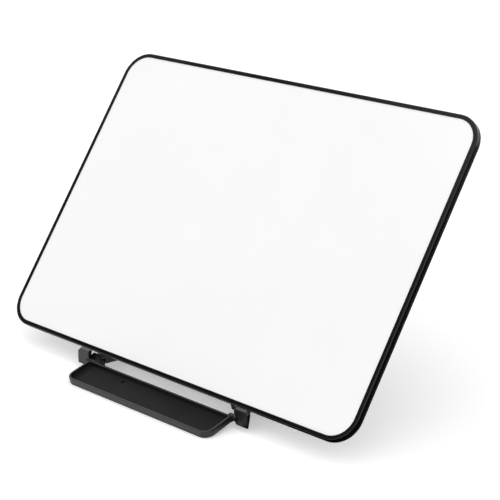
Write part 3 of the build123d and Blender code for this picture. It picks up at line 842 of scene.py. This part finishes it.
# Sizes of the punch above the head and at the recess's bottom, as shares of the recess's own.
PUNCH_TOP = 1.4
PUNCH_BOTTOM = 0.45
# How finely the screw is drawn.
CROWN_STEPS = 5
SCREW_SIDES = 24
SCREW_CREASE = math.radians(35)


def screws_in(node):
    """Each plain screw of a CAD node: its place, at the seat of its head with Z out of the head,
    its shank's radius and length, and its head's radius and depth."""
    shape = bmesh.new()
    shape.from_mesh(frame["nodes"][node].data)
    bmesh.ops.remove_doubles(shape, verts=shape.verts, dist=WELD)
    shape.verts.index_update()
    waiting = set(shape.verts)
    found = []
    for first in shape.verts:
        if first not in waiting:
            continue
        island = {first}
        edge = {first}
        while edge:
            edge = {e.other_vert(v) for v in edge for e in v.link_edges} - island
            island |= edge
        waiting -= island
        corners = sorted(island, key=lambda vert: vert.index)
        found.append(measure_screw([vert.co.copy() for vert in corners]))
    shape.free()
    return found


def measure_screw(points):
    """Place and sizes of one plain screw, from the corners of its mesh."""
    middle = sum(points, Vector()) / len(points)
    spreads = Matrix(((0, 0, 0), (0, 0, 0), (0, 0, 0)))
    for point in points:
        arm = point - middle
        for row in range(3):
            for column in range(3):
                spreads[row][column] += arm[row] * arm[column]
    # The corners spread most along the axis, so each turn by the spreads brings a guess nearer.
    axis = max((point - middle for point in points), key=lambda arm: arm.length).normalized()
    for _ in range(AXIS_TURNS):
        axis = (spreads @ axis).normalized()
    heights = [(point - middle).dot(axis) for point in points]
    radii = [((point - middle) - axis * height).length for point, height in zip(points, heights)]
    head_radius = max(radii)
    head = [height for height, radius in zip(heights, radii) if radius > HEAD_RIM * head_radius]
    if sum(head) < 0:
        axis = -axis
        heights = [-height for height in heights]
        head = [-height for height in head]
    seat = min(head)
    shank_radius = min(radius for radius in radii if radius > END_MIDDLE * head_radius)
    place = axis.to_track_quat("Z", "Y").to_matrix().to_4x4()
    place.translation = middle + axis * seat
    return place, shank_radius, seat - min(heights), head_radius, max(head) - seat


def screw_blank(shank_radius, length, head_radius, head_depth):
    """A pan-head screw before its recess, its head's seat at the origin and Z out of it."""
    profile = [(0, -length), (BLUNT_TIP * shank_radius, -length)]
    profile += [(shank_radius, shank_radius - length), (shank_radius, 0), (head_radius, 0)]
    side = HEAD_SIDE * head_depth
    for step in range(CROWN_STEPS):
        turn = math.pi / 2 * step / CROWN_STEPS
        height = side + (head_depth - side) * math.sin(turn)
        profile.append((head_radius * math.cos(turn), height))
    profile.append((0, head_depth))
    return place_shape("screw_blank", spin(profile, SCREW_SIDES))


def cross_punch(sizes, head_depth):
    """The cutter of a cross recess, which tapers from above the head to the recess's bottom."""
    shape = bmesh.new()
    rings = []
    levels = ((2 * head_depth, PUNCH_TOP), ((1 - RECESS_DEPTH) * head_depth, PUNCH_BOTTOM))
    for height, share in levels:
        arm = sizes.recess_span / 2 * share
        half = sizes.recess_width / 2 * share
        corner = ((arm, -half), (arm, half), (half, half))
        ring = []
        for quarter in range(4):
            turn = Matrix.Rotation(quarter * math.pi / 2, 2)
            ring += [shape.verts.new((*(turn @ Vector(place)), height)) for place in corner]
        rings.append(ring)
    top, bottom = rings
    for side in range(len(top)):
        after = (side + 1) % len(top)
        shape.faces.new((top[side], top[after], bottom[after], bottom[side]))
    shape.faces.new(top)
    shape.faces.new(bottom)
    bmesh.ops.recalc_face_normals(shape, faces=shape.faces)
    return place_shape("cross_punch", shape)


def pan_head_screw(sizes, *measures):
    """The mesh of a pan-head screw with a cross recess."""
    screw = screw_blank(*measures)
    carve(screw, cross_punch(sizes, measures[-1]))
    mesh = screw.data
    bpy.data.objects.remove(screw)
    return mesh


class WHITEBOARD_OT_screws(bpy.types.Operator):
    """Puts pan-head screws with a cross recess in place of the plain ones"""

    bl_idname = "whiteboard.screws"
    bl_label = "Screws"

    def execute(self, context):
        finish = context.scene.stand_finish
        zinc = black_zinc_steel(finish.zinc, finish.speck)
        for node in SCREW_SETS:
            shape = bmesh.new()
            made = {}
            for place, *measures in screws_in(node):
                kind = tuple(round(measure / MM, 2) for measure in measures)
                if kind not in made:
                    made[kind] = pan_head_screw(context.scene.piece_sizes, *measures)
                before = len(shape.verts)
                shape.from_mesh(made[kind])
                shape.verts.ensure_lookup_table()
                bmesh.ops.transform(shape, matrix=place, verts=shape.verts[before:])
            body = frame["nodes"][node].parent.name.removeprefix("body:")
            piece = make_piece("pan_head_" + node, body, zinc, shape)
            smooth(piece.data, SCREW_CREASE)
            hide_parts(node)
        return {"FINISHED"}


# ------------------------------------------------------------------ pen tray

# Material numbers of the tray's two finishes: the smooth outside, and the dish, whose darker colour
# and weak specular are painted shade.
OUTSIDE = 0
DISH = 1

GATE_SIDES = 32
TRAY_CREASE = math.radians(32)
# The modifier's strongest leaning to large faces, out of 1 to 100.
LARGE_FACES_FIRST = 100


def grow_dish(seed, up, height):
    """Faces inside the tray's dish, grown from one on its floor to this far above the floor."""
    dish = {seed}
    border = [seed]
    while border:
        face = border.pop()
        for neighbour in {other for side in face.edges for other in side.link_faces} - dish:
            if (neighbour.calc_center_median() - seed.verts[0].co).dot(up) < height:
                dish.add(neighbour)
                border.append(neighbour)
    return dish


def gate_punch(sizes, place, up):
    """The cutter of the gate's well, which stands at a place on the dish's floor."""
    radius = sizes.gate_mark / 2
    profile = [(0, -sizes.gate_depth), (radius, -sizes.gate_depth), (radius, radius), (0, radius)]
    shape = spin(profile, GATE_SIDES)
    turn = up.to_track_quat("Z", "Y").to_matrix().to_4x4()
    bmesh.ops.transform(shape, matrix=Matrix.Translation(place) @ turn, verts=shape.verts)
    # A cut's faces keep the cutter's material number, so the well takes the dish's finish, darker as
    # painted shade.
    for face in shape.faces:
        face.material_index = DISH
    return place_shape("gate_punch", shape)


class WHITEBOARD_OT_pen_tray(bpy.types.Operator):
    """Gives the pen tray its gate mark, its smooth outside and its grained dish, darker as painted
    shade
    """

    bl_idname = "whiteboard.pen_tray"
    bl_label = "Pen Tray"

    def execute(self, context):
        finish = context.scene.stand_finish
        sizes = context.scene.piece_sizes
        shape = bmesh.new()
        shape.from_mesh(frame["nodes"]["pen_tray"].data)
        bmesh.ops.remove_doubles(shape, verts=shape.verts, dist=WELD)
        # The dish's floor is the largest face that looks nearly straight up.
        raised = [face for face in shape.faces if face.normal.z > 0.9]
        seed = max(raised, key=lambda face: face.calc_area())
        up = seed.normal.copy()
        along = up.cross(Vector((1, 0, 0))).normalized()
        floor_place = seed.verts[0].co.copy()
        rim = max((vert.co - floor_place).dot(up) for vert in shape.verts)
        dish = grow_dish(seed, up, rim - sizes.rim_bead)
        for face in shape.faces:
            face.material_index = DISH if face in dish else OUTSIDE
        level = [face for face in dish if face.normal.dot(up) > 0.999]
        back = max((vert.co - floor_place).dot(along) for face in level for vert in face.verts)
        outside = moulded_abs("smooth_black_abs_tray", finish.tray, finish.grain, sheen=(0.26, 0.32))
        # The dish is the outside's moulding with a coarser grain and a rougher surface; its darker
        # colour and weak specular are painted shade.
        dish_abs_painted_shade = moulded_abs(
            "coarse_grained_black_abs_dish",
            finish.dish,
            finish.grain,
            sheen=(0.45, 0.55),
            depth=0.05,
            specular=0.125,
        )
        piece = make_piece("moulded_pen_tray", "tray", outside, shape)
        piece.data.materials.append(dish_abs_painted_shade)
        # The gate leaves a small round well, so that its trimmed stub stays below the floor.
        place = floor_place + along * (back - sizes.gate_inset)
        place.x = sizes.gate_across
        carve(piece, gate_punch(sizes, place, up))
        smooth(piece.data, TRAY_CREASE)
        # Wide flat faces keep their own shading where the curved edges meet them.
        weights = piece.modifiers.new("flat_faces", "WEIGHTED_NORMAL")
        weights.keep_sharp = True
        weights.weight = LARGE_FACES_FIRST
        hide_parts("pen_tray")
        return {"FINISHED"}


# ------------------------------------------------------------------ finishes of the CAD pieces


class WHITEBOARD_OT_writing_panel(bpy.types.Operator):
    """Gives the steel panel its white enamel, and the core behind it its card"""

    bl_idname = "whiteboard.writing_panel"
    bl_label = "Writing Panel"

    def execute(self, context):
        finish = context.scene.board_finish
        coat(["whiteboard_panel"], fired_enamel(finish))
        coat(["honeycomb_core"], honeycomb_card(finish.card, finish.cell))
        return {"FINISHED"}


class WHITEBOARD_OT_board_shells(bpy.types.Operator):
    """Gives the bezel and the back cover their moulded plastic"""

    bl_idname = "whiteboard.board_shells"
    bl_label = "Board Shells"

    def execute(self, context):
        finish = context.scene.board_finish
        grain = context.scene.stand_finish.grain
        bezel = moulded_abs(
            "satin_black_abs_bezel", finish.bezel, grain, sheen=(0.22, 0.28), specular=0.4
        )
        # The cover's mould is etched deeper and coarser than the bezel's.
        cover = moulded_abs(
            "grained_black_abs_cover", finish.cover, grain * 1.5, sheen=(0.4, 0.5), depth=0.03
        )
        coat(["front_bezel"], bezel)
        coat(["back_cover"], cover)
        return {"FINISHED"}


class WHITEBOARD_OT_base(bpy.types.Operator):
    """Gives the rails, crossbars, racks and front brackets their moulded plastic"""

    bl_idname = "whiteboard.base"
    bl_label = "Base"

    def execute(self, context):
        finish = context.scene.stand_finish
        plastic = moulded_abs(
            "satin_black_abs_stand", finish.plastic, finish.grain, sheen=(0.3, 0.38)
        )
        coat(BASE_BARS + BRACKETS + RACKS, plastic)
        return {"FINISHED"}


class WHITEBOARD_OT_prop(bpy.types.Operator):
    """Gives the prop its plastic and its rollers their acetal"""

    bl_idname = "whiteboard.prop"
    bl_label = "Prop"

    def execute(self, context):
        finish = context.scene.stand_finish
        plastic = moulded_abs(
            "satin_black_abs_prop", finish.plastic, finish.grain, sheen=(0.36, 0.46)
        )
        coat(["prop_frame"], plastic)
        coat(["slider_rollers"], machined_acetal(finish.acetal, finish.tool_ring))
        return {"FINISHED"}


class WHITEBOARD_OT_metal_parts(bpy.types.Operator):
    """Gives the hinge leaves, clevises and pins their metal finishes"""

    bl_idname = "whiteboard.metal_parts"
    bl_label = "Metal Parts"

    def execute(self, context):
        finish = context.scene.stand_finish
        coat(PRESSED_STEEL, powder_coated_steel(finish.powder, finish.grain * 1.5))
        coat(BRIGHT_PINS, turned_steel(finish.steel, finish.tool_ring))
        coat(BLACK_PINS, black_zinc_steel(finish.zinc, finish.speck))
        return {"FINISHED"}


class WHITEBOARD_OT_feet(bpy.types.Operator):
    """Gives the feet their rubber"""

    bl_idname = "whiteboard.feet"
    bl_label = "Feet"

    def execute(self, context):
        finish = context.scene.stand_finish
        coat(["rubber_feet"], moulded_rubber(finish.rubber, finish.grain))
        return {"FINISHED"}


# ------------------------------------------------------------------ stage

FLOOR_WIDTH = 12.0
LAMP_TARGET = (0, 0, 0.1)
FRONT_FLAG_TARGET = (0, 0, 0.2)
SENSOR_WIDTH = 36.0
NEAR_CLIP = 0.01


def aim(holder, place, target, axis):
    """Puts an object at a place and turns one of its axes to a target."""
    holder.location = place
    holder.rotation_euler = (Vector(target) - Vector(place)).to_track_quat(axis, "Y").to_euler()


def background_rays(tree):
    """An output that is 1 for rays from the camera, or off gloss or through glass, and else 0."""
    path = add_node(tree, "ShaderNodeLightPath")
    seen = path.outputs["Is Camera Ray"]
    for ray in ("Is Glossy Ray", "Is Transmission Ray"):
        seen = add_node(
            tree,
            "ShaderNodeMath",
            {"operation": "MAXIMUM"},
            [("Value", seen), ("Value_001", path.outputs[ray])],
        ).outputs[0]
    return seen


def lay_floor(settings):
    """A wide pale floor that takes the object's shadow and is white where nothing shades it."""
    floor = square_sheet("studio_floor", FLOOR_WIDTH)
    material, tree = new_material("pale_studio_paper")
    places = add_node(tree, "ShaderNodeTexCoord").outputs["Object"]
    fibres = add_node(
        tree,
        "ShaderNodeTexNoise",
        {"Scale": 1 / PAPER_FIBRE, "Detail": 4.0},
        [("Vector", places)],
    ).outputs["Fac"]
    colour = add_node(
        tree,
        "ShaderNodeValToRGB",
        {"stops": ((NOISE_LOW, shade(settings.floor, 0.99)), (NOISE_HIGH, shade(settings.floor)))},
        [("Fac", fibres)],
    ).outputs["Color"]
    paper = add_node(tree, "ShaderNodeBsdfDiffuse", {"Roughness": 0.5}, [("Color", colour)])
    # The camera and the object's gloss see the paper lifted to the white of the background.
    lift = add_node(
        tree,
        "ShaderNodeMath",
        {"operation": "MULTIPLY", "Value_001": settings.floor_lift},
        [("Value", background_rays(tree))],
    )
    glow = add_node(
        tree, "ShaderNodeEmission", {"Color": (1, 1, 1, 1)}, [("Strength", lift.outputs[0])]
    )
    both = add_node(
        tree,
        "ShaderNodeAddShader",
        (),
        [("Shader", paper.outputs[0]), ("Shader_001", glow.outputs[0])],
    )
    add_node(tree, "ShaderNodeOutputMaterial", (), [("Surface", both.outputs[0])])
    floor.data.materials.append(material)


def light_surround(settings):
    """Light from all round, and a white background wherever the camera or a gloss sees it."""
    world = bpy.data.worlds.new("studio_surround")
    world.use_nodes = True
    tree = world.node_tree
    tree.nodes.clear()
    ambient = add_node(
        tree, "ShaderNodeBackground", {"Color": (1, 1, 1, 1), "Strength": settings.surround}
    )
    white = add_node(tree, "ShaderNodeBackground", {"Color": (1, 1, 1, 1), "Strength": 1.0})
    mix = add_node(
        tree,
        "ShaderNodeMixShader",
        (),
        [
            ("Fac", background_rays(tree)),
            ("Shader", ambient.outputs[0]),
            ("Shader_001", white.outputs[0]),
        ],
    )
    add_node(tree, "ShaderNodeOutputWorld", (), [("Surface", mix.outputs[0])])
    bpy.context.scene.world = world


def hang_lamp(settings):
    """A square soft lamp, turned to the lower part of the board."""
    lamp = bpy.data.lights.new("key_lamp", "AREA")
    lamp.shape = "SQUARE"
    lamp.size = settings.key_size
    lamp.energy = settings.key_power
    holder = bpy.data.objects.new("key_lamp", lamp)
    aim(holder, settings.key_place, LAMP_TARGET, "-Z")
    bpy.context.scene.collection.objects.link(holder)


def hang_flag(name, place, target, width):
    """A black card that only glossy surfaces mirror, which gives black plastic its dark faces."""
    flag = square_sheet(name, width)
    aim(flag, place, target, "Z")
    flag.visible_camera = False
    flag.visible_diffuse = False
    flag.visible_shadow = False
    material, tree = new_material("black_flocked_card")
    cloth = add_node(tree, "ShaderNodeBsdfDiffuse", {"Color": (0, 0, 0, 1)})
    add_node(tree, "ShaderNodeOutputMaterial", (), [("Surface", cloth.outputs[0])])
    flag.data.materials.append(material)


def set_camera(settings):
    """The camera, without tilt to the side, shift or depth of field."""
    camera = bpy.data.cameras.new("camera")
    camera.sensor_width = SENSOR_WIDTH
    camera.lens = settings.focal_length
    camera.clip_start = NEAR_CLIP
    holder = bpy.data.objects.new("camera", camera)
    holder.location = settings.camera_place
    holder.rotation_euler = (math.pi / 2 - settings.elevation, 0, settings.azimuth)
    bpy.context.scene.collection.objects.link(holder)
    bpy.context.scene.camera = holder


class WHITEBOARD_OT_stage(bpy.types.Operator):
    """Lays the floor, lights the board and sets the camera"""

    bl_idname = "whiteboard.stage"
    bl_label = "Stage"

    def execute(self, context):
        settings = context.scene.stage_settings
        lay_floor(settings)
        light_surround(settings)
        hang_lamp(settings)
        front = settings.front_flag_place
        hang_flag("front_flag", front, FRONT_FLAG_TARGET, settings.front_flag_size)
        side = settings.side_flag_place
        above = (side.x, side.y, 1)
        hang_flag("side_flag", side, above, settings.side_flag_size)
        set_camera(settings)
        context.scene.view_settings.view_transform = "Standard"
        return {"FINISHED"}


class WHITEBOARD_PT_sidebar(bpy.types.Panel):
    """Lists the pieces and the stage"""

    bl_idname = "WHITEBOARD_PT_sidebar"
    bl_label = "Desk Whiteboard"
    bl_space_type = "VIEW_3D"
    bl_region_type = "UI"
    bl_category = "Whiteboard"

    def draw(self, context):
        for operator in OPERATORS:
            self.layout.operator(operator.bl_idname)
        for name, group in GROUPS:
            for setting in group.__annotations__:
                self.layout.prop(getattr(context.scene, name), setting)


OPERATORS = (
    WHITEBOARD_OT_writing_panel,
    WHITEBOARD_OT_board_shells,
    WHITEBOARD_OT_base,
    WHITEBOARD_OT_prop,
    WHITEBOARD_OT_pen_tray,
    WHITEBOARD_OT_metal_parts,
    WHITEBOARD_OT_screws,
    WHITEBOARD_OT_feet,
    WHITEBOARD_OT_stage,
)
GROUPS = (
    ("board_finish", BoardFinish),
    ("stand_finish", StandFinish),
    ("piece_sizes", PieceSizes),
    ("stage_settings", StageSettings),
)


def register():
    """Registers the settings, the operators and the panel."""
    for name, group in GROUPS:
        bpy.utils.register_class(group)
        setattr(bpy.types.Scene, name, PointerProperty(type=group))
    for operator in OPERATORS:
        bpy.utils.register_class(operator)
    bpy.utils.register_class(WHITEBOARD_PT_sidebar)


def unregister():
    """Takes back what register added, in the opposite order."""
    bpy.utils.unregister_class(WHITEBOARD_PT_sidebar)
    for operator in reversed(OPERATORS):
        bpy.utils.unregister_class(operator)
    for name, group in reversed(GROUPS):
        delattr(bpy.types.Scene, name)
        bpy.utils.unregister_class(group)


def main():
    """Makes every piece and the stage."""
    register()
    bpy.ops.whiteboard.writing_panel()
    bpy.ops.whiteboard.board_shells()
    bpy.ops.whiteboard.base()
    bpy.ops.whiteboard.prop()
    bpy.ops.whiteboard.pen_tray()
    bpy.ops.whiteboard.metal_parts()
    bpy.ops.whiteboard.screws()
    bpy.ops.whiteboard.feet()
    bpy.ops.whiteboard.stage()


if __name__ == "__main__":
    main()
